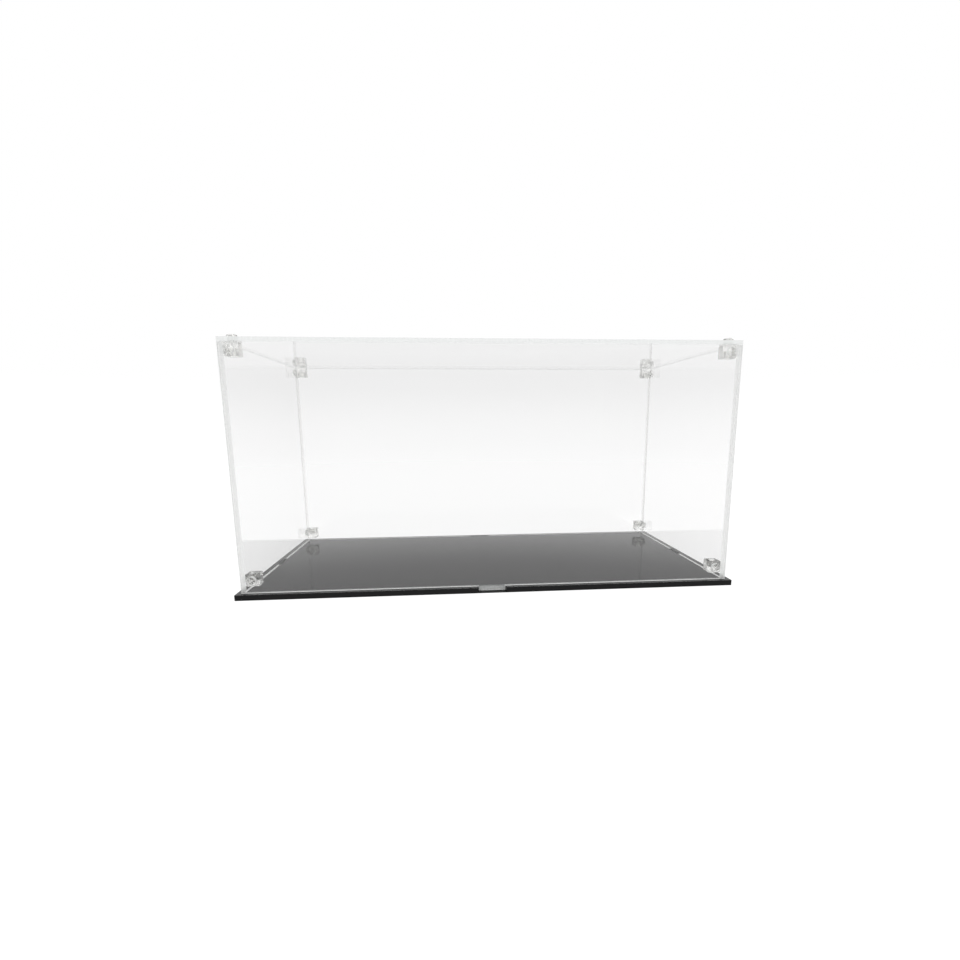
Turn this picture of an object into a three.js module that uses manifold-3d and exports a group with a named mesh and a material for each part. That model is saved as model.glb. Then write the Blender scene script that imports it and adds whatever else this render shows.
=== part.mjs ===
import * as THREE from "three";
import { mergeVertices } from "three/addons/utils/BufferGeometryUtils.js";
import Module from "manifold-3d";

// Football display case: a clear cover of five flat acrylic panels, clipped together by eight
// moulded corner connectors, that lifts straight up off a black acrylic base.
// Millimetres, +Z up, origin at the centre of the base's underside, front towards -Y.

const wasm = await Module();
wasm.setup();

// Base plate
const BASE_LENGTH = 400;
const BASE_DEPTH = 200;
const BASE_THICKNESS = 4.5;
const BASE_CORNER_RADIUS = 0.6;
const BASE_OVERHANG = 4; // base beyond the cover's walls, all round

// Cover panels
const SHEET = 3; // thickness of every clear panel
const COVER_HEIGHT = 191.5; // base's upper face to the top panel's upper face
const SEAM = 0.15; // gap where one panel butts against another

// Tabs under the walls and the pockets that take them
const TAB_WIDTH = 21.5;
const TAB_DROP = 3.5;
const POCKET_FLOOR = 0.7; // base left under each pocket
const POCKET_END_CLEARANCE = 0.4; // at each end of a tab
const POCKET_FACE_CLEARANCE = 0.3; // to the tab's inner and outer faces

// Corner connectors
const BLOCK = 10; // edge of the cube that sits in the corner
const BLOCK_CHAMFER = 0.6;
const BLOCK_GAP = 0.1; // between the block and each panel that it sits against
const BLOCK_LIFT = 4.7; // underside of the lower blocks above the base's upper face
const CORE_WIDTH = 5; // square hole moulded in from the block's inner face
const CORE_DEPTH = 5.5;

// Split posts: those in the walls stop short of the outer face, and those in the top panel stand
// proud of it, with a barb
const POST_RADIUS = 3;
const HOLE_CLEARANCE = 0.2; // all round the post in its hole
const WALL_POST_INSET = 0.2; // post tip inside the wall's outer face
const WALL_TIP_TAPER = 0.4;
const BARB_RADIUS = 3.9;
const BARB_LAND = 1.2; // straight part of the barb
const BARB_CLEARANCE = 0.3; // between the barb and the top panel's outer face
const BARB_TIP_RADIUS = 3.4;
const TOP_POST_PROUD = 2.3; // post tip beyond the top panel's outer face
const POST_ROOT = -0.6; // sunk into the block
const SPLIT_WIDTH = 1.1; // cross slot that lets the four prongs spring in
const SPLIT_ROOT = 0.6; // solid left between the slot and the block
const ROUND_SEGMENTS = 16;

// The sides, as quarter turns from the front, counterclockwise as seen from above
const FRONT = 0;
const RIGHT = 1;
const BACK = 2;
const LEFT = 3;

// Sizes that follow from the ones above
const COVER_LENGTH = BASE_LENGTH - 2 * BASE_OVERHANG;
const COVER_DEPTH = BASE_DEPTH - 2 * BASE_OVERHANG;
const WALL_BOTTOM = BASE_THICKNESS;
const TOP_UNDERSIDE = WALL_BOTTOM + COVER_HEIGHT - SHEET;
const WALL_HEIGHT = TOP_UNDERSIDE - SEAM - WALL_BOTTOM;
const SIDE_LENGTH = COVER_DEPTH - 2 * (SHEET + SEAM);
const INNER_X = COVER_LENGTH / 2 - SHEET;
const INNER_Y = COVER_DEPTH / 2 - SHEET;
const HOLE_RADIUS = POST_RADIUS + HOLE_CLEARANCE;
const BLOCK_CENTRE = BLOCK_GAP + BLOCK / 2; // from an inner panel face to the block's middle
const HOLE_X = INNER_X - BLOCK_CENTRE;
const HOLE_Y = INNER_Y - BLOCK_CENTRE;
const UPPER_HOLE_Z = TOP_UNDERSIDE - BLOCK_CENTRE;
const LOWER_HOLE_Z = WALL_BOTTOM + BLOCK_LIFT + BLOCK / 2;

const clearSheet = new THREE.MeshStandardMaterial({
  color: 0xeef2f2,
  roughness: 0.03,
  metalness: 0,
  transparent: true,
  opacity: 0.25,
});
const clearMoulding = new THREE.MeshStandardMaterial({
  color: 0xe6e9ea,
  roughness: 0.1,
  metalness: 0,
  transparent: true,
  opacity: 0.5,
});
const blackSheet = new THREE.MeshStandardMaterial({ color: 0x101011, roughness: 0.06, metalness: 0 });

// A closed geometry as a solid that can be joined and cut
function solidFrom(geometry) {
  const bare = geometry.clone();
  bare.deleteAttribute("normal");
  bare.deleteAttribute("uv");
  const merged = mergeVertices(bare, 1e-4);
  const triVerts = new Uint32Array(merged.index.array);
  const vertProperties = new Float32Array(merged.attributes.position.array);
  return new wasm.Manifold(new wasm.Mesh({ numProp: 3, vertProperties, triVerts }));
}

function geometryFrom(solid) {
  const mesh = solid.getMesh();
  const geometry = new THREE.BufferGeometry();
  geometry.setAttribute("position", new THREE.BufferAttribute(new Float32Array(mesh.vertProperties), 3));
  geometry.setIndex(new THREE.BufferAttribute(new Uint32Array(mesh.triVerts), 1));
  geometry.computeVertexNormals();
  return geometry;
}

function boxBetween(low, high) {
  const box = new THREE.BoxGeometry(high[0] - low[0], high[1] - low[1], high[2] - low[2]);
  return box.translate((low[0] + high[0]) / 2, (low[1] + high[1]) / 2, (low[2] + high[2]) / 2);
}

function mesh(name, geometry, material) {
  const made = new THREE.Mesh(geometry, material);
  made.name = name;
  return made;
}

function roundHole(x, y) {
  const hole = new THREE.Path();
  hole.absarc(x, y, HOLE_RADIUS, 0, 2 * Math.PI, true);
  return hole;
}

function roundedRectangle(length, depth, radius) {
  const x = length / 2 - radius;
  const y = depth / 2 - radius;
  const outline = new THREE.Shape();
  outline.absarc(x, -y, radius, -Math.PI / 2, 0, false);
  outline.absarc(x, y, radius, 0, Math.PI / 2, false);
  outline.absarc(-x, y, radius, Math.PI / 2, Math.PI, false);
  outline.absarc(-x, -y, radius, Math.PI, 1.5 * Math.PI, false);
  outline.closePath();
  return outline;
}

function extrude(outline, depth) {
  return new THREE.ExtrudeGeometry(outline, {
    depth,
    bevelEnabled: false,
    curveSegments: ROUND_SEGMENTS / 2,
  });
}

// Base: a plate with a pocket in the middle of each side, into which a wall's tab drops. The
// front pocket is open at the plate's edge, and the other three are closed slots.
function makeBase() {
  const outline = roundedRectangle(BASE_LENGTH, BASE_DEPTH, BASE_CORNER_RADIUS);
  let plate = solidFrom(extrude(outline, BASE_THICKNESS));
  const halfWidth = TAB_WIDTH / 2 + POCKET_END_CLEARANCE;
  const margin = 1; // a cutting box runs past the plate by this much
  const above = BASE_THICKNESS + margin;
  for (const quarterTurns of [FRONT, RIGHT, BACK, LEFT]) {
    const alongDepth = quarterTurns === FRONT || quarterTurns === BACK;
    const outerFace = (alongDepth ? COVER_DEPTH : COVER_LENGTH) / 2;
    const near = outerFace - SHEET - POCKET_FACE_CLEARANCE;
    const far = quarterTurns === FRONT ? BASE_DEPTH / 2 + margin : outerFace + POCKET_FACE_CLEARANCE;
    const pocket = boxBetween([-halfWidth, -far, POCKET_FLOOR], [halfWidth, -near, above]);
    pocket.rotateZ((quarterTurns * Math.PI) / 2);
    plate = plate.subtract(solidFrom(pocket));
  }
  return mesh("base_plate", geometryFrom(plate), blackSheet);
}

// Wall: an upright panel drawn in its own plane, x along its length and y up from the base's
// upper face, with a tab under its middle and a hole for each of its four connectors
function wallGeometry(length, holeX) {
  const half = length / 2;
  const tab = TAB_WIDTH / 2;
  const outline = new THREE.Shape();
  outline.moveTo(-half, 0);
  outline.lineTo(-tab, 0);
  outline.lineTo(-tab, -TAB_DROP);
  outline.lineTo(tab, -TAB_DROP);
  outline.lineTo(tab, 0);
  outline.lineTo(half, 0);
  outline.lineTo(half, WALL_HEIGHT);
  outline.lineTo(-half, WALL_HEIGHT);
  outline.closePath();
  for (const x of [-holeX, holeX]) {
    outline.holes.push(roundHole(x, LOWER_HOLE_Z - WALL_BOTTOM));
    outline.holes.push(roundHole(x, UPPER_HOLE_Z - WALL_BOTTOM));
  }
  return extrude(outline, SHEET);
}

// A wall's group turns the drawing upright, with its outer face at the given distance from the
// centre line, and then round the case from the front by quarter turns
function makeWall(name, length, holeX, outerDistance, quarterTurns) {
  const upright = new THREE.Group();
  upright.rotation.z = (quarterTurns * Math.PI) / 2;
  const panel = mesh(name, wallGeometry(length, holeX), clearSheet);
  panel.rotation.x = Math.PI / 2;
  panel.position.set(0, SHEET - outerDistance, WALL_BOTTOM);
  upright.add(panel);
  return upright;
}

// Top panel: lies over the walls' upper edges
function makeTop() {
  const outline = new THREE.Shape();
  outline.moveTo(-COVER_LENGTH / 2, -COVER_DEPTH / 2);
  outline.lineTo(COVER_LENGTH / 2, -COVER_DEPTH / 2);
  outline.lineTo(COVER_LENGTH / 2, COVER_DEPTH / 2);
  outline.lineTo(-COVER_LENGTH / 2, COVER_DEPTH / 2);
  outline.closePath();
  for (const x of [-HOLE_X, HOLE_X]) {
    for (const y of [-HOLE_Y, HOLE_Y]) outline.holes.push(roundHole(x, y));
  }
  const panel = mesh("top_panel", extrude(outline, SHEET), clearSheet);
  panel.position.z = TOP_UNDERSIDE;
  return panel;
}

// Post: stands on the block's face along +Z and has a cross slot
function splitPost(profile) {
  const points = profile.map(([radius, z]) => new THREE.Vector2(radius, z));
  const tip = points[points.length - 1].y;
  const turned = new THREE.LatheGeometry(points, ROUND_SEGMENTS);
  turned.rotateX(Math.PI / 2);
  const reach = BARB_RADIUS + 1;
  const half = SPLIT_WIDTH / 2;
  const slotX = boxBetween([-reach, -half, SPLIT_ROOT], [reach, half, tip + 1]);
  const slotY = boxBetween([-half, -reach, SPLIT_ROOT], [half, reach, tip + 1]);
  return solidFrom(turned).subtract(solidFrom(slotX)).subtract(solidFrom(slotY));
}

function wallPost() {
  const tip = BLOCK_GAP + SHEET - WALL_POST_INSET;
  return splitPost([
    [0, POST_ROOT],
    [POST_RADIUS, POST_ROOT],
    [POST_RADIUS, tip - WALL_TIP_TAPER],
    [POST_RADIUS - WALL_TIP_TAPER, tip],
    [0, tip],
  ]);
}

function topPost() {
  const barbStart = BLOCK_GAP + SHEET + BARB_CLEARANCE;
  const tip = BLOCK_GAP + SHEET + TOP_POST_PROUD;
  return splitPost([
    [0, POST_ROOT],
    [POST_RADIUS, POST_ROOT],
    [POST_RADIUS, barbStart],
    [BARB_RADIUS, barbStart],
    [BARB_RADIUS, barbStart + BARB_LAND],
    [BARB_TIP_RADIUS, tip],
    [0, tip],
  ]);
}

// A cube with every edge chamfered, its low corner at the origin
function blockGeometry() {
  const low = BLOCK_CHAMFER;
  const high = BLOCK - BLOCK_CHAMFER;
  const outline = new THREE.Shape();
  outline.moveTo(2 * low, low);
  outline.lineTo(high - low, low);
  outline.lineTo(high, 2 * low);
  outline.lineTo(high, high - low);
  outline.lineTo(high - low, high);
  outline.lineTo(2 * low, high);
  outline.lineTo(low, high - low);
  outline.lineTo(low, 2 * low);
  outline.closePath();
  const geometry = new THREE.ExtrudeGeometry(outline, {
    depth: BLOCK - 2 * BLOCK_CHAMFER,
    bevelEnabled: true,
    bevelThickness: BLOCK_CHAMFER,
    bevelSize: BLOCK_CHAMFER,
    bevelSegments: 1,
  });
  return geometry.translate(0, 0, BLOCK_CHAMFER);
}

// Connector, drawn with the case's inner corner at the origin, its block towards +X +Y +Z and
// its posts along -X, -Y and, under the top panel, -Z
function connectorGeometry(hasTopPost) {
  const middle = BLOCK / 2;
  const core = CORE_WIDTH / 2;
  const hollow = boxBetween(
    [middle - core, middle - core, BLOCK - CORE_DEPTH],
    [middle + core, middle + core, BLOCK + 1],
  );
  let solid = solidFrom(blockGeometry()).subtract(solidFrom(hollow));
  solid = solid.add(wallPost().rotate([0, -90, 0]).translate([0, middle, middle]));
  solid = solid.add(wallPost().rotate([90, 0, 0]).translate([middle, 0, middle]));
  if (hasTopPost) solid = solid.add(topPost().rotate([180, 0, 0]).translate([middle, middle, 0]));
  return geometryFrom(solid.translate([BLOCK_GAP, BLOCK_GAP, hasTopPost ? BLOCK_GAP : 0]));
}

// Eight connectors: one drawing for the upper corners and one for the lower, mirrored to fit
function makeConnectors() {
  const connectors = new THREE.Group();
  const upper = connectorGeometry(true);
  const lower = connectorGeometry(false);
  for (const [endName, endSide] of [["left", -1], ["right", 1]]) {
    for (const [faceName, faceSide] of [["front", -1], ["back", 1]]) {
      const high = mesh(`connector_top_${faceName}_${endName}`, upper, clearMoulding);
      high.position.set(endSide * INNER_X, faceSide * INNER_Y, TOP_UNDERSIDE);
      high.scale.set(-endSide, -faceSide, -1);
      const low = mesh(`connector_bottom_${faceName}_${endName}`, lower, clearMoulding);
      low.position.set(endSide * INNER_X, faceSide * INNER_Y, WALL_BOTTOM + BLOCK_LIFT);
      low.scale.set(-endSide, -faceSide, 1);
      connectors.add(high, low);
    }
  }
  return connectors;
}

const cover = new THREE.Group();
cover.add(
  makeWall("front_panel", COVER_LENGTH, HOLE_X, COVER_DEPTH / 2, FRONT),
  makeWall("right_panel", SIDE_LENGTH, HOLE_Y, COVER_LENGTH / 2, RIGHT),
  makeWall("back_panel", COVER_LENGTH, HOLE_X, COVER_DEPTH / 2, BACK),
  makeWall("left_panel", SIDE_LENGTH, HOLE_Y, COVER_LENGTH / 2, LEFT),
  makeTop(),
  makeConnectors(),
);

const displayCase = new THREE.Group();
displayCase.add(makeBase(), cover);

export default displayCase;
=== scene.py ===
import math

import bmesh
import bpy
from mathutils import Matrix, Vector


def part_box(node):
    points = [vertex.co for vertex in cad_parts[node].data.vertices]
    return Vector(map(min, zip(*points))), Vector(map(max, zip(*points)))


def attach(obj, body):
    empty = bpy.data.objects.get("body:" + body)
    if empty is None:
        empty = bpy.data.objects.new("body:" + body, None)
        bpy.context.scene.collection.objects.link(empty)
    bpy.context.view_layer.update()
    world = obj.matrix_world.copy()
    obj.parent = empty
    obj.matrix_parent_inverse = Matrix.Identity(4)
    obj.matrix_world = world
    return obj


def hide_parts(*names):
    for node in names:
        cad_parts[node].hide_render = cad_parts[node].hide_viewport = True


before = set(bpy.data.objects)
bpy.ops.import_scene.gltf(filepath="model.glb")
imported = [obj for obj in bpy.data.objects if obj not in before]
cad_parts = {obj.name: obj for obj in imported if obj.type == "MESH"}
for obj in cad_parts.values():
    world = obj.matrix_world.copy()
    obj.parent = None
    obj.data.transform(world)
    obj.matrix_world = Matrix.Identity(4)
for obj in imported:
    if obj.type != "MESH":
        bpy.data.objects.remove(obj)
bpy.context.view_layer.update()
mm = 0.001
tiny = 0.01 * mm  # nearer than this counts as touching
square = 0.99  # a face is square to an axis when its normal lies at least this much along it
print("frame loaded:", len(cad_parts), "nodes")

# Places and sizes that the frame gives
baseLow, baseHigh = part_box("base_plate")
topLow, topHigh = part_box("top_panel")
frontLow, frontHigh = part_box("front_panel")
leftLow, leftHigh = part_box("left_panel")
sheet = topHigh.z - topLow.z  # thickness of every clear panel
innerX = topHigh.x - sheet  # the walls' inner faces
innerY = topHigh.y - sheet
baseTop = baseHigh.z
wallTop = frontHigh.z
tabBottom = frontLow.z


# The tab under a wall is as wide as its lowest vertices are apart
def tabHalfWidth(node, axis):
    points = [v.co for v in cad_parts[node].data.vertices if v.co.z < tabBottom + 0.1 * mm]
    places = [p[axis] for p in points]
    return (max(places) - min(places)) / 2


tabHalfX = tabHalfWidth("front_panel", 0)
tabHalfY = tabHalfWidth("left_panel", 1)

connector = {
    "block": 10 * mm,  # edge of the cube in the corner
    "blockRound": 0.6 * mm,
    "roundSteps": 3,
    "gap": 0.1 * mm,  # block to panel
    "lift": 4.7 * mm,  # underside of the lower cubes above the base
    "coreWidth": 5 * mm,
    "coreDepth": 5.5 * mm,
    "coreRound": 0.3 * mm,
    "coreSteps": 2,
    "coreTaper": 0.9,  # the core narrows to this share at its floor, so it leaves the mould
    "postRadius": 3 * mm,
    "postSteps": 48,
    "postRound": 0.3 * mm,  # at a post's tip
    "wallPostInset": 0.25 * mm,  # tip inside the wall's outer face
    "barbRadius": 3.9 * mm,
    "barbGap": 0.3 * mm,  # top panel's outer face to the barb
    "barbLand": 1.2 * mm,
    "barbTipRadius": 3.4 * mm,
    "topPostProud": 2.3 * mm,
    "splitWidth": 1.1 * mm,
    "splitRoot": 0.6 * mm,  # split's floor above the block
    "postFoot": 0.2 * mm,  # foot sunk into the block, past its rounded edge
    "cutPast": 1 * mm,  # how far the split's cutters reach past the post
    "merge": 0.001 * mm,  # vertices nearer than this are one
}
blockCentre = connector["gap"] + connector["block"] / 2
holeX = innerX - blockCentre
holeY = innerY - blockCentre
upperHoleZ = topLow.z - blockCentre
lowerHoleZ = baseTop + connector["lift"] + connector["block"] / 2


def linearColor(hexCode):
    channels = [int(hexCode[i:i + 2], 16) / 255 for i in (1, 3, 5)]
    linear = [c / 12.92 if c <= 0.04045 else ((c + 0.055) / 1.055) ** 2.4 for c in channels]
    return (*linear, 1.0)


def addNode(tree, kind, inputs=None, **settings):
    node = tree.nodes.new(kind)
    for name, value in settings.items():
        setattr(node, name, value)
    for socket, value in (inputs or {}).items():
        if isinstance(value, bpy.types.NodeSocket):
            tree.links.new(value, node.inputs[socket])
        else:
            node.inputs[socket].default_value = value
    return node


def newMaterial(name):
    material = bpy.data.materials.new(name)
    material.use_nodes = True
    material.node_tree.nodes.clear()
    return material, material.node_tree


def finishMaterial(tree, shader):
    addNode(tree, "ShaderNodeOutputMaterial", {"Surface": shader})


# The finished bmesh as an object: flat faces stay flat, round ones are smooth
def makeObject(name, bm, materials, smoothBelow=15):
    mesh = bpy.data.meshes.new(name)
    bm.to_mesh(mesh)
    bm.free()
    piece = bpy.data.objects.new(name, mesh)
    bpy.context.scene.collection.objects.link(piece)
    for material in materials:
        mesh.materials.append(material)
    mesh.shade_smooth()
    mesh.set_sharp_from_angle(angle=math.radians(smoothBelow))
    return piece


def finishPiece(piece, body, node):
    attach(piece, body)
    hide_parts(node)


def cutAcross(bm, point, normal):
    everything = bm.verts[:] + bm.edges[:] + bm.faces[:]
    bmesh.ops.bisect_plane(bm, geom=everything, dist=tiny, plane_co=point, plane_no=normal)


# Extrudes faces along +Z and returns the raised ones. keepBelow leaves the first ones in place.
def raiseFaces(bm, faces, height, keepBelow):
    made = bmesh.ops.extrude_face_region(bm, geom=faces, use_keep_orig=keepBelow)
    raised = [g for g in made["geom"] if isinstance(g, bmesh.types.BMVert)]
    bmesh.ops.translate(bm, vec=(0, 0, height), verts=raised)
    return [g for g in made["geom"] if isinstance(g, bmesh.types.BMFace)]


def isLevel(face):
    return abs(face.normal.z) > square


def sharpEdges(bm, angle=30):
    limit = math.radians(angle)
    return [e for e in bm.edges if e.is_manifold and e.calc_face_angle() > limit]


def bevelEdges(bm, edges, offset, segments):
    bmesh.ops.bevel(bm, geom=edges, offset=offset, offset_type="OFFSET", segments=segments,
                    profile=0.5, affect="EDGES", material=-1)


view = {
    "position": (-30.0 * mm, -495.9 * mm, 133.9 * mm),
    "turnRight": 4.723,  # degrees
    "lookDown": 10.551,
    "roll": -0.323,
    "lens": 19.366,
    "sensor": 36.0,
    "shiftX": -0.0162,
    "shiftY": 0.0412,
    "nearest": 10 * mm,
}


def makeCamera():
    camera = bpy.data.objects.new("camera", bpy.data.cameras.new("camera"))
    bpy.context.scene.collection.objects.link(camera)
    turn = Matrix.Rotation(math.radians(-view["turnRight"]), 4, "Z")
    tip = Matrix.Rotation(math.radians(90 - view["lookDown"]), 4, "X")
    roll = Matrix.Rotation(math.radians(view["roll"]), 4, "Z")
    camera.matrix_world = Matrix.Translation(view["position"]) @ turn @ tip @ roll
    camera.data.sensor_width = view["sensor"]
    camera.data.lens = view["lens"]
    camera.data.shift_x = view["shiftX"]
    camera.data.shift_y = view["shiftY"]
    camera.data.clip_start = view["nearest"]
    bpy.context.scene.camera = camera


makeCamera()
print("camera made")

# Each list is elevation in degrees and brightness there. The backdrop is what is seen directly,
# a little overexposed below the horizon; the others are what shows in the reflections.
studio = {
    "backdrop": [(-90, 1.14), (-7, 1.14), (-4, 1.12), (0, 1.08), (4, 1.0), (90, 1.0)],
    "lightSide": [(-90, 1.0), (-8, 1.0), (4, 0.82), (12, 0.97), (13.3, 0.8), (15.2, 0.63),
                  (20, 0.66), (45, 1.1), (90, 1.25)],
    "cameraSide": [(-90, 0.3), (0, 0.2), (12, 0.22), (35, 0.7), (90, 1.25)],
    "brightest": 1.3,
    "sideBlend": (0.15, 0.75),  # how far towards the front a direction points, from 0 to 1
    "floorRadius": 1.4,
    "floorSteps": 96,
    "floorColor": "#f4f4f3",
    "floorSeen": 1.14,
    "floorShade": 0.12,  # share of the floor's light that a shadow can take away
    "floorAround": 0.98,  # its brightness in reflections, beside and behind the case
    # painted shade: the floor's glow in reflections, dimmed to this in front of the case
    "floorFrontPaintedShade": 0.32,  # and in front of it
}


# A ray shows the room once it has been reflected, however much clear plastic it then passes
def makeWorld():
    world = bpy.data.worlds.new("studio")
    world.use_nodes = True
    bpy.context.scene.world = world
    tree = world.node_tree
    tree.nodes.clear()
    direction = addNode(tree, "ShaderNodeTexCoord").outputs["Generated"]
    parts = addNode(tree, "ShaderNodeSeparateXYZ", {0: direction}).outputs
    angle = addNode(tree, "ShaderNodeMath", {0: parts["Z"]}, operation="ARCSINE").outputs[0]
    place = addNode(tree, "ShaderNodeMapRange",
                    {0: angle, 1: -math.pi / 2, 2: math.pi / 2}).outputs[0]
    seen = {}
    for name in ("backdrop", "lightSide", "cameraSide"):
        ramp = addNode(tree, "ShaderNodeValToRGB", {0: place})
        stops = ramp.color_ramp.elements
        while len(stops) < len(studio[name]):
            stops.new(0.5)
        for stop, (elevation, level) in zip(stops, studio[name]):
            share = level / studio["brightest"]
            stop.position = (elevation + 90) / 180
            stop.color = (share, share, share, 1)
        seen[name] = ramp.outputs["Color"]
    forward = addNode(tree, "ShaderNodeMath", {0: parts["Y"], 1: -1.0},
                      operation="MULTIPLY").outputs[0]
    low, high = studio["sideBlend"]
    toCamera = addNode(tree, "ShaderNodeMapRange", {0: forward, 1: low, 2: high},
                       interpolation_type="SMOOTHSTEP").outputs[0]
    room = addNode(tree, "ShaderNodeMix",
                   {0: toCamera, 6: seen["lightSide"], 7: seen["cameraSide"]}, data_type="RGBA")
    path = addNode(tree, "ShaderNodeLightPath").outputs
    reflected = addNode(tree, "ShaderNodeMath", {0: path["Glossy Depth"], 1: 1.0},
                        operation="MINIMUM").outputs[0]
    shown = addNode(tree, "ShaderNodeMix",
                    {0: reflected, 6: seen["backdrop"], 7: room.outputs[2]}, data_type="RGBA")
    light = addNode(tree, "ShaderNodeBackground",
                    {"Color": shown.outputs[2], "Strength": studio["brightest"]})
    addNode(tree, "ShaderNodeOutputWorld", {"Surface": light.outputs[0]})


# Matt white paper. In reflections it glows with a painted shade: about as dim in front of the case
# as the room there is.
def makeFloor():
    material, tree = newMaterial("matt_paper_backdrop")
    paper = addNode(tree, "ShaderNodeBsdfDiffuse", {"Color": linearColor(studio["floorColor"])})
    glow = addNode(tree, "ShaderNodeEmission",
                   {"Color": (1, 1, 1, 1), "Strength": studio["floorSeen"]})
    seen = addNode(tree, "ShaderNodeMixShader",
                   {0: studio["floorShade"], 1: glow.outputs[0], 2: paper.outputs[0]})
    place = addNode(tree, "ShaderNodeTexCoord").outputs["Object"]
    parts = addNode(tree, "ShaderNodeSeparateXYZ", {0: place}).outputs
    # Painted shade: the glow that reflections see fades from beside the case down to its front
    level = addNode(tree, "ShaderNodeMapRange",
                    {0: parts["Y"], 1: 0.0, 2: baseLow.y, 3: studio["floorAround"],
                     4: studio["floorFrontPaintedShade"]}).outputs[0]
    paintedReflection = addNode(tree, "ShaderNodeEmission", {"Color": (1, 1, 1, 1), "Strength": level})
    path = addNode(tree, "ShaderNodeLightPath").outputs
    reflected = addNode(tree, "ShaderNodeMath", {0: path["Glossy Depth"], 1: 1.0},
                        operation="MINIMUM").outputs[0]
    both = addNode(tree, "ShaderNodeMixShader",
                   {0: reflected, 1: seen.outputs[0], 2: paintedReflection.outputs[0]})
    finishMaterial(tree, both.outputs[0])
    bm = bmesh.new()
    bmesh.ops.create_circle(bm, cap_ends=True, segments=studio["floorSteps"],
                            radius=studio["floorRadius"])
    floor = makeObject("floor", bm, [material])


makeWorld()
makeFloor()
bpy.context.scene.view_settings.view_transform = "Standard"
print("studio made")

clearSheet = {
    "tint": "#fefefe",  # cast acrylic is all but colourless through its faces
    "ior": 1.49,
    "roughness": (0.012, 0.05),  # polished, with faint wiping marks
    "smearSize": 45 * mm,
    "smearStretch": 3.0,  # pattern's scale upright, so the smears lie flat
    "cutColor": "#f6f7f6",
    # painted shade: the top panel's edges take a greyer colour than the walls' edges
    "topCutPaintedShadeColor": "#e6e8e7",  # light leaves the top panel's edges less
    "cutRoughness": (0.2, 0.34),
    "cutSpread": 0.02,  # how far the striations vary the frosting
    "frostedEnds": 0.74,  # opacity of the front and back walls' edges
    "frostedButts": 0.74,  # side walls' edges, which butt against the front and back walls
    "frostedTop": 0.8,  # top panel's edges
    "frostedInside": 0.4,  # share of the two above that is left when seen from inside the sheet
    "frostedUnder": 1.0,  # walls' lower edges
    "striation": 0.9 * mm,  # laser striations, drawn coarser than the real 0.2 mm so that they show
    "striationDepth": 0.05 * mm,
    "tabHazeColor": "#cdcfce",
    "tabHazeShare": (0.375, 0.625),  # how much of a tab's face is hazed grey
    "tabHazeRoughness": (0.4, 0.6),
    "tabHazeSize": 0.8 * mm,
    "tabHazeStretch": 0.25,  # pattern's scale upright, so the streaks are four times as long as wide
}


# Clear cast acrylic, polished face: what the eye gets is the mirror-like sheen of its two
# surfaces, stronger at a glancing angle, over an all but invisible body.
# A sheet's two faces reflect 2F/(1+F) together, so the side that faces the ray carries both.
def makeClearFace():
    material, tree = newMaterial("clear_cast_acrylic_polished")
    place = addNode(tree, "ShaderNodeTexCoord").outputs["Object"]
    stretched = addNode(tree, "ShaderNodeMapping",
                        {"Vector": place, "Scale": (1, 1, clearSheet["smearStretch"])}).outputs[0]
    smear = addNode(tree, "ShaderNodeTexNoise",
                    {"Vector": stretched, "Scale": 1 / clearSheet["smearSize"], "Detail": 4.0,
                     "Roughness": 0.6}).outputs["Fac"]
    low, high = clearSheet["roughness"]
    rough = addNode(tree, "ShaderNodeMapRange",
                    {0: smear, 1: 0.35, 2: 0.75, 3: low, 4: high}).outputs[0]
    tint = linearColor(clearSheet["tint"])
    through = addNode(tree, "ShaderNodeBsdfTransparent", {"Color": tint})
    shine = addNode(tree, "ShaderNodeBsdfAnisotropic", {"Color": (1, 1, 1, 1), "Roughness": rough})
    one = addNode(tree, "ShaderNodeFresnel", {"IOR": clearSheet["ior"]}).outputs[0]
    doubled = addNode(tree, "ShaderNodeMath", {0: one, 1: 2.0}, operation="MULTIPLY").outputs[0]
    below = addNode(tree, "ShaderNodeMath", {0: one, 1: 1.0}, operation="ADD").outputs[0]
    pair = addNode(tree, "ShaderNodeMath", {0: doubled, 1: below}, operation="DIVIDE").outputs[0]
    inside = addNode(tree, "ShaderNodeNewGeometry").outputs["Backfacing"]
    facing = addNode(tree, "ShaderNodeMath", {0: 1.0, 1: inside}, operation="SUBTRACT").outputs[0]
    amount = addNode(tree, "ShaderNodeMath", {0: pair, 1: facing}, operation="MULTIPLY").outputs[0]
    both = addNode(tree, "ShaderNodeMixShader",
                   {0: amount, 1: through.outputs[0], 2: shine.outputs[0]})
    finishMaterial(tree, both.outputs[0])
    return material


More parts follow.
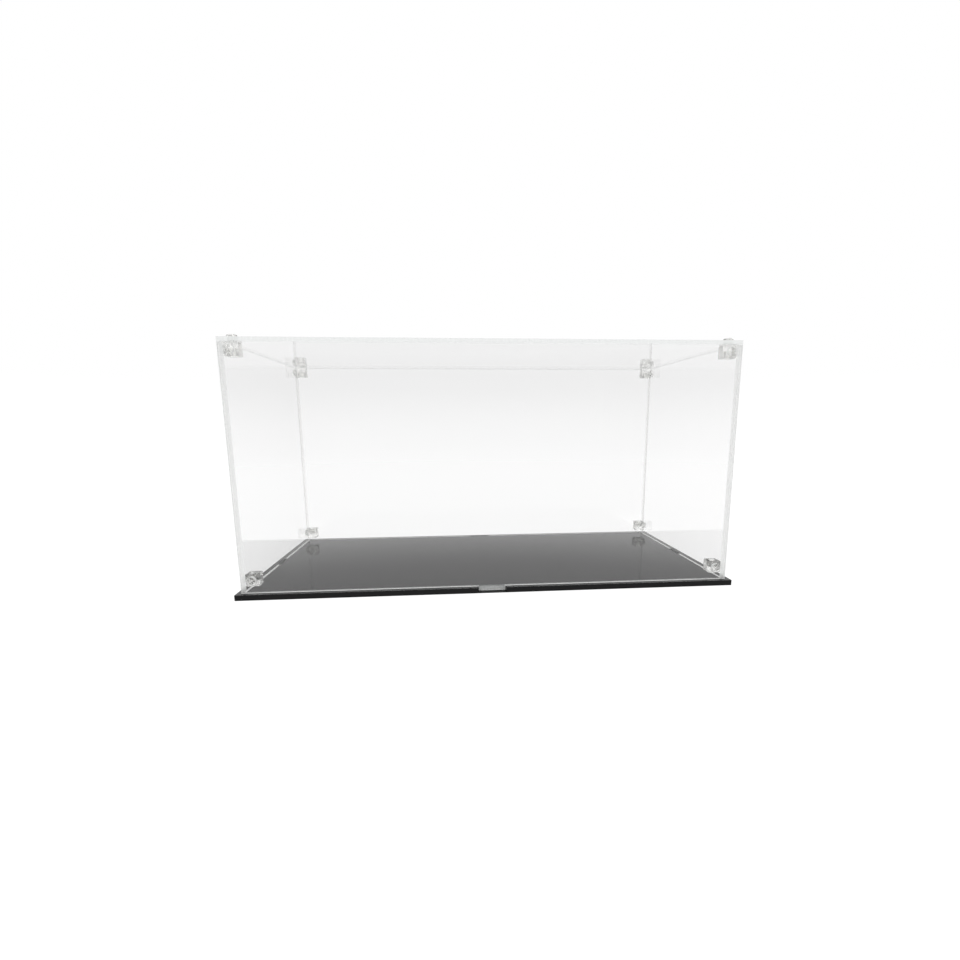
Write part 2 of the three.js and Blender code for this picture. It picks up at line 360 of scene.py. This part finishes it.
# Clear cast acrylic, laser-cut edge: a bright frosted line, because light that runs inside the
# sheet comes out there, crossed by fine striations.
# thickness is the axis through the sheet, along which the striations do not change.
def makeClearCut(place, thickness, opacity, inside, color):
    material, tree = newMaterial("clear_cast_acrylic_laser_cut_" + place)
    spot = addNode(tree, "ShaderNodeTexCoord").outputs["Object"]
    scale = [1.0, 1.0, 1.0]
    scale[thickness] = 0.0
    along = addNode(tree, "ShaderNodeMapping", {"Vector": spot, "Scale": scale}).outputs[0]
    lines = addNode(tree, "ShaderNodeTexNoise",
                    {"Vector": along, "Scale": 1 / clearSheet["striation"], "Detail": 3.0,
                     "Roughness": 0.7}).outputs["Fac"]
    low, high = clearSheet["cutRoughness"]
    rough = addNode(tree, "ShaderNodeMapRange",
                    {0: lines, 1: 0.3, 2: 0.7, 3: low, 4: high}).outputs[0]
    spread = clearSheet["cutSpread"]
    share = addNode(tree, "ShaderNodeMapRange",
                    {0: lines, 1: 0.3, 2: 0.7, 3: opacity - spread, 4: opacity + spread}).outputs[0]
    fromInside = addNode(tree, "ShaderNodeNewGeometry").outputs["Backfacing"]
    kept = addNode(tree, "ShaderNodeMapRange", {0: fromInside, 3: 1.0, 4: inside}).outputs[0]
    frosting = addNode(tree, "ShaderNodeMath", {0: share, 1: kept}, operation="MULTIPLY").outputs[0]
    ridges = addNode(tree, "ShaderNodeBump",
                     {"Height": lines, "Strength": 0.12,
                      "Distance": clearSheet["striationDepth"]}).outputs[0]
    frosted = addNode(tree, "ShaderNodeBsdfPrincipled",
                      {"Base Color": linearColor(color), "Roughness": rough,
                       "IOR": clearSheet["ior"], "Normal": ridges})
    through = addNode(tree, "ShaderNodeBsdfTransparent", {"Color": linearColor(clearSheet["tint"])})
    both = addNode(tree, "ShaderNodeMixShader",
                   {0: frosting, 1: through.outputs[0], 2: frosted.outputs[0]})
    finishMaterial(tree, both.outputs[0])
    return material


# Clear cast acrylic with a light grey haze: a tab's faces are hazed light grey in fine upright
# streaks over the clear sheet.
def makeClearTabHaze():
    material, tree = newMaterial("clear_cast_acrylic_grey_tab_haze")
    spot = addNode(tree, "ShaderNodeTexCoord").outputs["Object"]
    upright = addNode(tree, "ShaderNodeMapping",
                      {"Vector": spot, "Scale": (1, 1, clearSheet["tabHazeStretch"])}).outputs[0]
    streaks = addNode(tree, "ShaderNodeTexNoise",
                        {"Vector": upright, "Scale": 1 / clearSheet["tabHazeSize"], "Detail": 4.0,
                         "Roughness": 0.7}).outputs["Fac"]
    low, high = clearSheet["tabHazeShare"]
    share = addNode(tree, "ShaderNodeMapRange",
                    {0: streaks, 1: 0.3, 2: 0.7, 3: low, 4: high}).outputs[0]
    low, high = clearSheet["tabHazeRoughness"]
    rough = addNode(tree, "ShaderNodeMapRange",
                    {0: streaks, 1: 0.3, 2: 0.7, 3: low, 4: high}).outputs[0]
    haze = addNode(tree, "ShaderNodeBsdfPrincipled",
                   {"Base Color": linearColor(clearSheet["tabHazeColor"]), "Roughness": rough,
                    "IOR": clearSheet["ior"]})
    through = addNode(tree, "ShaderNodeBsdfTransparent", {"Color": linearColor(clearSheet["tint"])})
    both = addNode(tree, "ShaderNodeMixShader",
                   {0: share, 1: through.outputs[0], 2: haze.outputs[0]})
    finishMaterial(tree, both.outputs[0])
    return material


blackSheet = {
    "color": "#0d0d0e",
    "dustColor": "#55555a",
    "ior": 1.49,
    "roughness": (0.02, 0.06),
    "clothSize": 70 * mm,  # patches left by wiping
    "dustSpacing": 6 * mm,
    "dustSize": 0.35 * mm,
    "dustShare": 0.3,  # of the places where a speck could lie
    "dustCover": 0.6,  # at the middle of a speck
    "cutRoughness": (0.14, 0.3),
    "striation": 0.8 * mm,  # coarser than the real 0.2 mm, as on the clear sheet
    "striationDepth": 0.05 * mm,
}


# Black cast acrylic, polished face: deep black under a clear mirror, with a few specks of dust
# and soft patches where a cloth has wiped it.
def makeBlackFace():
    material, tree = newMaterial("black_cast_acrylic_polished")
    place = addNode(tree, "ShaderNodeTexCoord").outputs["Object"]
    cloth = addNode(tree, "ShaderNodeTexNoise",
                    {"Vector": place, "Scale": 1 / blackSheet["clothSize"], "Detail": 5.0,
                     "Roughness": 0.6}).outputs["Fac"]
    low, high = blackSheet["roughness"]
    rough = addNode(tree, "ShaderNodeMapRange",
                    {0: cloth, 1: 0.35, 2: 0.7, 3: low, 4: high}).outputs[0]
    cells = addNode(tree, "ShaderNodeTexVoronoi",
                    {"Vector": place, "Scale": 1 / blackSheet["dustSpacing"]}).outputs
    speck = addNode(tree, "ShaderNodeMapRange",
                    {0: cells["Distance"], 1: blackSheet["dustSize"] / blackSheet["dustSpacing"],
                     2: 0.0, 3: 0.0, 4: blackSheet["dustCover"]}).outputs[0]
    chance = addNode(tree, "ShaderNodeSeparateXYZ", {0: cells["Color"]}).outputs["X"]
    held = addNode(tree, "ShaderNodeMath", {0: chance, 1: 1 - blackSheet["dustShare"]},
                   operation="GREATER_THAN").outputs[0]
    dust = addNode(tree, "ShaderNodeMath", {0: speck, 1: held}, operation="MULTIPLY").outputs[0]
    color = addNode(tree, "ShaderNodeMix",
                    {0: dust, 6: linearColor(blackSheet["color"]),
                     7: linearColor(blackSheet["dustColor"])}, data_type="RGBA").outputs[2]
    gloss = addNode(tree, "ShaderNodeBsdfPrincipled",
                    {"Base Color": color, "Roughness": rough, "IOR": blackSheet["ior"]})
    finishMaterial(tree, gloss.outputs[0])
    return material


# Black cast acrylic, laser-cut edge: black still, but softer, crossed by fine striations.
def makeBlackCut():
    material, tree = newMaterial("black_cast_acrylic_laser_cut")
    place = addNode(tree, "ShaderNodeTexCoord").outputs["Object"]
    along = addNode(tree, "ShaderNodeMapping", {"Vector": place, "Scale": (1, 1, 0)}).outputs[0]
    lines = addNode(tree, "ShaderNodeTexNoise",
                    {"Vector": along, "Scale": 1 / blackSheet["striation"], "Detail": 3.0,
                     "Roughness": 0.7}).outputs["Fac"]
    low, high = blackSheet["cutRoughness"]
    rough = addNode(tree, "ShaderNodeMapRange",
                    {0: lines, 1: 0.3, 2: 0.7, 3: low, 4: high}).outputs[0]
    ridges = addNode(tree, "ShaderNodeBump",
                     {"Height": lines, "Strength": 0.25,
                      "Distance": blackSheet["striationDepth"]}).outputs[0]
    cut = addNode(tree, "ShaderNodeBsdfPrincipled",
                  {"Base Color": linearColor(blackSheet["color"]), "Roughness": rough,
                   "IOR": blackSheet["ior"], "Normal": ridges})
    finishMaterial(tree, cut.outputs[0])
    return material


moulding = {
    "color": "#fdfdfc",
    "straight": 0.34,  # share of the view that passes unbent, through its flat faces
    "ior": 1.59,
    "roughness": (0.0, 0.03),
    "flowSize": 2.2 * mm,
    "flowDepth": 0.1 * mm,
    "shadow": "#e8ecec",
}


# Clear injection-moulded polystyrene: bright as glass, with dark and light flecks where its
# corners and prongs bend the view, and slight flow marks from the mould.
def makeMoulding():
    material, tree = newMaterial("clear_polystyrene_injection_moulded")
    place = addNode(tree, "ShaderNodeTexCoord").outputs["Object"]
    flow = addNode(tree, "ShaderNodeTexNoise",
                   {"Vector": place, "Scale": 1 / moulding["flowSize"], "Detail": 2.0,
                    "Distortion": 0.6}).outputs["Fac"]
    low, high = moulding["roughness"]
    rough = addNode(tree, "ShaderNodeMapRange",
                    {0: flow, 1: 0.3, 2: 0.7, 3: low, 4: high}).outputs[0]
    marks = addNode(tree, "ShaderNodeBump",
                    {"Height": flow, "Strength": 0.4, "Distance": moulding["flowDepth"]}).outputs[0]
    glassy = addNode(tree, "ShaderNodeBsdfPrincipled",
                     {"Base Color": linearColor(moulding["color"]), "Roughness": rough,
                      "IOR": moulding["ior"], "Transmission Weight": 1.0, "Normal": marks})
    unbent = addNode(tree, "ShaderNodeBsdfTransparent", {"Color": linearColor(moulding["color"])})
    seen = addNode(tree, "ShaderNodeMixShader",
                   {0: moulding["straight"], 1: glassy.outputs[0], 2: unbent.outputs[0]})
    shadow = addNode(tree, "ShaderNodeBsdfTransparent", {"Color": linearColor(moulding["shadow"])})
    inShadow = addNode(tree, "ShaderNodeLightPath").outputs["Is Shadow Ray"]
    both = addNode(tree, "ShaderNodeMixShader",
                   {0: inShadow, 1: seen.outputs[0], 2: shadow.outputs[0]})
    finishMaterial(tree, both.outputs[0])
    return material


clearFace = makeClearFace()
# Light grey haze in upright streaks, for the tabs' faces
clearTabHaze = makeClearTabHaze()
cutColor = clearSheet["cutColor"]
under = clearSheet["frostedUnder"]
inside = clearSheet["frostedInside"]
# The top panel's edges are given the greyer colour, as painted shade
topCut = makeClearCut("top_edges", 2, clearSheet["frostedTop"], inside, clearSheet["topCutPaintedShadeColor"])
sideCuts = [makeClearCut("side_edges", 0, clearSheet["frostedButts"], inside, cutColor),
            makeClearCut("side_lower_edges", 0, under, 1.0, cutColor)]
faceCuts = [makeClearCut("face_edges", 1, clearSheet["frostedEnds"], 1.0, cutColor),
            makeClearCut("face_lower_edges", 1, under, 1.0, cutColor)]
blackFace = makeBlackFace()
blackCut = makeBlackCut()
clearMoulding = makeMoulding()
print("materials made")

base = {
    "cornerRadius": 0.6 * mm,
    "cornerSteps": 6,
    "rimRound": 0.25 * mm,
    "rimSteps": 2,
    "pocketEnd": 0.4 * mm,  # clearance at each end of a tab
    "pocketFace": 0.3 * mm,  # clearance to its faces
    "pocketFloor": 0.7 * mm,
}


# Pockets as boxes in plan: low corner, high corner. The front one runs out through the edge.
def pocketsInPlan():
    halfX = tabHalfX + base["pocketEnd"]
    halfY = tabHalfY + base["pocketEnd"]
    face = base["pocketFace"]
    nearX, farX = innerX - face, topHigh.x + face
    nearY, farY = innerY - face, topHigh.y + face
    return [((-halfX, baseLow.y), (halfX, -nearY)), ((-halfX, nearY), (halfX, farY)),
            ((-farX, -halfY), (-nearX, halfY)), ((nearX, -halfY), (farX, halfY))]


def inPocket(face, pockets):
    centre = face.calc_center_median()
    return any(low[0] < centre.x < high[0] and low[1] < centre.y < high[1] for low, high in pockets)


def makeBase():
    bm = bmesh.new()
    bmesh.ops.create_grid(bm, x_segments=1, y_segments=1, size=0.5)
    size = baseHigh - baseLow
    bmesh.ops.scale(bm, vec=(size.x, size.y, 1), verts=bm.verts)
    bmesh.ops.bevel(bm, geom=bm.verts[:], offset=base["cornerRadius"], offset_type="OFFSET",
                    segments=base["cornerSteps"], profile=0.5, affect="VERTICES", material=-1)
    pockets = pocketsInPlan()
    for x in sorted({corner[0] for box in pockets for corner in box}):
        cutAcross(bm, (x, 0, 0), (1, 0, 0))
    for y in sorted({corner[1] for box in pockets for corner in box if corner[1] > baseLow.y}):
        cutAcross(bm, (0, y, 0), (0, 1, 0))
    floors = raiseFaces(bm, bm.faces[:], base["pocketFloor"], True)
    body = [f for f in floors if not inPocket(f, pockets)]
    raiseFaces(bm, body, size.z - base["pocketFloor"], False)
    bmesh.ops.delete(bm, geom=[f for f in body if f.is_valid], context="FACES")
    bmesh.ops.recalc_face_normals(bm, faces=bm.faces)
    bmesh.ops.dissolve_limit(bm, angle_limit=math.radians(1), verts=bm.verts, edges=bm.edges)
    bevelEdges(bm, sharpEdges(bm), base["rimRound"], base["rimSteps"])
    bmesh.ops.recalc_face_normals(bm, faces=bm.faces)
    for face in bm.faces:
        face.material_index = 0 if isLevel(face) else 1
    return makeObject("base", bm, [blackFace, blackCut], smoothBelow=14)


panel = {
    "holeRadius": 3.2 * mm,
    "holeSteps": 64,
    "rimRound": 0.15 * mm,
    "rimSteps": 2,
    "seat": 0.06 * mm,  # hairline of air under each wall
    "brightUnderFront": 1.9 * mm,  # frosted share of a wall's lower edge, from its outer face
    "brightUnderSide": 2.2 * mm,  # from its inner face
    "brightUnderBack": 1.9 * mm,
}


def outlineEdges(bm, corners):
    verts = [bm.verts.new(corner) for corner in corners]
    return [bm.edges.new((a, b)) for a, b in zip(verts, verts[1:] + verts[:1])]


# A panel drawn flat, u and v in metres and w = 0, then given its thickness towards +w
def drawPanel(corners, holes, thickness):
    bm = bmesh.new()
    edges = outlineEdges(bm, [(u, v, 0) for u, v in corners])
    for u, v in holes:
        made = bmesh.ops.create_circle(bm, cap_ends=False, segments=panel["holeSteps"],
                                       radius=panel["holeRadius"],
                                       matrix=Matrix.Translation((u, v, 0)))
        edges += list({e for vert in made["verts"] for e in vert.link_edges})
    bmesh.ops.triangle_fill(bm, edges=edges, use_beauty=True, use_dissolve=False)
    raiseFaces(bm, bm.faces[:], thickness, True)
    bmesh.ops.recalc_face_normals(bm, faces=bm.faces)
    bevelEdges(bm, sharpEdges(bm), panel["rimRound"], panel["rimSteps"])
    for face in bm.faces:
        face.material_index = 0 if isLevel(face) else 1
    return bm


# Materials: 0 polished, 1 cut edge, 2 lower edge, 3 grey-hazed tab. The lower edge is frosted only
# along one face, from w = frostLow to frostHigh. The upper edge lies under the top panel, clear.
def wallDrawing(halfLength, tabHalf, holeAt, frostLow, frostHigh):
    bottom = baseTop + panel["seat"]
    corners = [(-halfLength, bottom), (-tabHalf, bottom), (-tabHalf, tabBottom),
               (tabHalf, tabBottom), (tabHalf, bottom), (halfLength, bottom),
               (halfLength, wallTop), (-halfLength, wallTop)]
    holes = [(side * holeAt, z) for side in (-1, 1) for z in (lowerHoleZ, upperHoleZ)]
    bm = drawPanel(corners, holes, sheet)
    split = frostHigh if frostLow == 0 else frostLow
    cutAcross(bm, (0, 0, split), (0, 0, 1))
    # Faces below this height, on the tab, take the light grey haze
    tabHazeEnd = bottom + panel["rimRound"]
    cutAcross(bm, (0, tabHazeEnd, 0), (0, 1, 0))
    for face in bm.faces:
        centre = face.calc_center_median()
        if face.normal.y < -square and abs(centre.y - bottom) < tiny:
            face.material_index = 2 if frostLow < centre.z < frostHigh else 0
        elif face.material_index == 0 and centre.y < tabHazeEnd:
            face.material_index = 3
        elif face.normal.y > square and centre.y > wallTop - tiny:
            face.material_index = 0
    return bm


# The drawing stands up, faces the front, and is turned round the case by quarter turns
def makeWall(name, node, drawing, outerDistance, quarterTurns):
    bm = drawing.copy()
    upright = Matrix.Rotation(math.radians(90), 4, "X")
    place = Matrix.Translation((0, sheet - outerDistance, 0))
    around = Matrix.Rotation(quarterTurns * math.pi / 2, 4, "Z")
    bmesh.ops.transform(bm, matrix=around @ place @ upright, verts=bm.verts)
    bmesh.ops.recalc_face_normals(bm, faces=bm.faces)
    cuts = sideCuts if quarterTurns % 2 else faceCuts
    piece = makeObject(name, bm, [clearFace, *cuts, clearTabHaze])
    finishPiece(piece, "cover", node)


def makeTop():
    corners = [(topLow.x, topLow.y), (topHigh.x, topLow.y),
               (topHigh.x, topHigh.y), (topLow.x, topHigh.y)]
    holes = [(side * holeX, end * holeY) for side in (-1, 1) for end in (-1, 1)]
    bm = drawPanel(corners, holes, sheet)
    bmesh.ops.translate(bm, vec=(0, 0, topLow.z), verts=bm.verts)
    piece = makeObject("topPanel", bm, [clearFace, topCut])
    finishPiece(piece, "cover", "top_panel")


finishPiece(makeBase(), "base", "base_plate")
print("base made")

sideHalf = (leftHigh.y - leftLow.y) / 2
frontDrawing = wallDrawing(frontHigh.x, tabHalfX, holeX, sheet - panel["brightUnderFront"], sheet)
backDrawing = wallDrawing(frontHigh.x, tabHalfX, holeX, 0, panel["brightUnderBack"])
sideDrawing = wallDrawing(sideHalf, tabHalfY, holeY, 0, panel["brightUnderSide"])
makeWall("frontPanel", "front_panel", frontDrawing, topHigh.y, 0)
makeWall("rightPanel", "right_panel", sideDrawing, topHigh.x, 1)
makeWall("backPanel", "back_panel", backDrawing, topHigh.y, 2)
makeWall("leftPanel", "left_panel", sideDrawing, topHigh.x, 3)
for drawing in (frontDrawing, backDrawing, sideDrawing):
    drawing.free()
makeTop()
print("panels made")


# Whether the point is one of the cube's own eight corners
def atCorner(point, size):
    return all(min(abs(c), abs(c - size)) < tiny for c in point)


# A cube with its corner at the origin, its edges rounded and a square core open towards +Z
def blockMesh():
    size = connector["block"]
    bm = bmesh.new()
    bmesh.ops.create_cube(bm, size=size, matrix=Matrix.Translation((size / 2,) * 3))
    inner = max(bm.faces, key=lambda f: f.calc_center_median().z)
    bmesh.ops.inset_individual(bm, faces=[inner], thickness=(size - connector["coreWidth"]) / 2)
    made = bmesh.ops.extrude_discrete_faces(bm, faces=[inner])
    sunk = list(made["faces"][0].verts)
    bmesh.ops.translate(bm, vec=(0, 0, -connector["coreDepth"]), verts=sunk)
    taper = (connector["coreTaper"], connector["coreTaper"], 1)
    middle = Matrix.Translation((-size / 2, -size / 2, 0))
    bmesh.ops.scale(bm, vec=taper, verts=sunk, space=middle)
    outer = [e for e in sharpEdges(bm) if all(atCorner(v.co, size) for v in e.verts)]
    rims = [e for e in sharpEdges(bm) if e not in outer]
    bevelEdges(bm, rims, connector["coreRound"], connector["coreSteps"])
    outer = [e for e in sharpEdges(bm) if all(atCorner(v.co, size) for v in e.verts)]
    bevelEdges(bm, outer, connector["blockRound"], connector["roundSteps"])
    bmesh.ops.recalc_face_normals(bm, faces=bm.faces)
    return bm


# Post on the cube's face along +Z from z = 0, with its foot sunk into the cube. One in a wall stops
# short of the outer face, and one in the top panel stands proud of it, with a barb.
def postMesh(isProud):
    outerFace = connector["gap"] + sheet
    radius = connector["postRadius"]
    ease = connector["postRound"]
    root = -connector["blockRound"] - connector["postFoot"]
    if isProud:
        tip = outerFace + connector["topPostProud"]
        start = outerFace + connector["barbGap"]
        landEnd = start + connector["barbLand"]
        barb = connector["barbRadius"]
        tipRadius = connector["barbTipRadius"]
        end = [(radius, start), (barb, start), (barb, landEnd), (tipRadius, tip - ease / 3),
               (tipRadius - ease, tip)]
    else:
        tip = outerFace - connector["wallPostInset"]
        end = [(radius, tip - ease), (radius - ease / 3, tip - ease / 3), (radius - ease, tip)]
    profile = [(0, root), (radius, root), *end, (0, tip)]
    bm = bmesh.new()
    verts = [bm.verts.new((x, 0, z)) for x, z in profile]
    edges = [bm.edges.new(pair) for pair in zip(verts, verts[1:])]
    bmesh.ops.spin(bm, geom=verts + edges, cent=(0, 0, 0), axis=(0, 0, 1), dvec=(0, 0, 0),
                   angle=2 * math.pi, steps=connector["postSteps"], use_merge=True)
    bmesh.ops.remove_doubles(bm, verts=bm.verts, dist=connector["merge"])
    bmesh.ops.recalc_face_normals(bm, faces=bm.faces)
    return bm, tip


def slotMesh(sizeX, sizeY, tip):
    bm = bmesh.new()
    low = connector["splitRoot"]
    high = tip + connector["cutPast"]
    bmesh.ops.create_cube(bm, size=1)
    bmesh.ops.scale(bm, vec=(sizeX, sizeY, high - low), verts=bm.verts)
    bmesh.ops.translate(bm, vec=(0, 0, (low + high) / 2), verts=bm.verts)
    return bm


# A temporary object, for a Boolean to work on
def scratchObject(bm):
    mesh = bpy.data.meshes.new("scratch")
    bm.to_mesh(mesh)
    bm.free()
    made = bpy.data.objects.new("scratch", mesh)
    bpy.context.scene.collection.objects.link(made)
    return made


# Joins or cuts one scratch object with another, and returns the result as a new bmesh
def combine(first, second, operation):
    cutter = first.modifiers.new("combine", "BOOLEAN")
    cutter.object = second
    cutter.operation = operation
    cutter.solver = "EXACT"
    bpy.context.view_layer.update()
    ready = first.evaluated_get(bpy.context.evaluated_depsgraph_get())
    bm = bmesh.new()
    bm.from_mesh(ready.to_mesh())
    ready.to_mesh_clear()
    for scratch in (first, second):
        mesh = scratch.data
        bpy.data.objects.remove(scratch)
        bpy.data.meshes.remove(mesh)
    return bm


def splitPost(isProud):
    post, tip = postMesh(isProud)
    width = connector["splitWidth"]
    reach = 2 * (connector["barbRadius"] + connector["cutPast"])
    for sizeX, sizeY in ((reach, width), (width, reach)):
        cutter = scratchObject(slotMesh(sizeX, sizeY, tip))
        post = combine(scratchObject(post), cutter, "DIFFERENCE")
    return post


# Drawn with the case's inner corner at the origin: cube towards +X +Y +Z, posts towards -X, -Y
# and, under the top panel, -Z
def connectorMesh(hasTopPost):
    half = connector["block"] / 2
    turns = [(Matrix.Translation((0, half, half)) @ Matrix.Rotation(-math.pi / 2, 4, "Y"), False),
             (Matrix.Translation((half, 0, half)) @ Matrix.Rotation(math.pi / 2, 4, "X"), False)]
    if hasTopPost:
        turns.append((Matrix.Translation((half, half, 0)) @ Matrix.Rotation(math.pi, 4, "X"), True))
    bm = blockMesh()
    for turn, isProud in turns:
        post = splitPost(isProud)
        bmesh.ops.transform(post, matrix=turn, verts=post.verts)
        bm = combine(scratchObject(bm), scratchObject(post), "UNION")
    gap = connector["gap"]
    shift = (gap, gap, gap if hasTopPost else 0)
    bmesh.ops.translate(bm, vec=shift, verts=bm.verts)
    bmesh.ops.remove_doubles(bm, verts=bm.verts, dist=connector["merge"])
    return bm


def makeConnectors():
    drawings = {True: connectorMesh(True), False: connectorMesh(False)}
    for endName, endSide in (("left", -1), ("right", 1)):
        for faceName, faceSide in (("front", -1), ("back", 1)):
            for level, isTop in (("top", True), ("bottom", False)):
                bm = drawings[isTop].copy()
                flip = Matrix.Diagonal((-endSide, -faceSide, -1 if isTop else 1, 1))
                height = topLow.z if isTop else baseTop + connector["lift"]
                corner = Matrix.Translation((endSide * innerX, faceSide * innerY, height))
                bmesh.ops.transform(bm, matrix=corner @ flip, verts=bm.verts)
                bmesh.ops.recalc_face_normals(bm, faces=bm.faces)
                place = level.capitalize() + faceName.capitalize() + endName.capitalize()
                piece = makeObject("connector" + place, bm, [clearMoulding], smoothBelow=25)
                node = f"connector_{level}_{faceName}_{endName}"
                finishPiece(piece, "cover", node)
    for drawing in drawings.values():
        drawing.free()


makeConnectors()
print("connectors made")
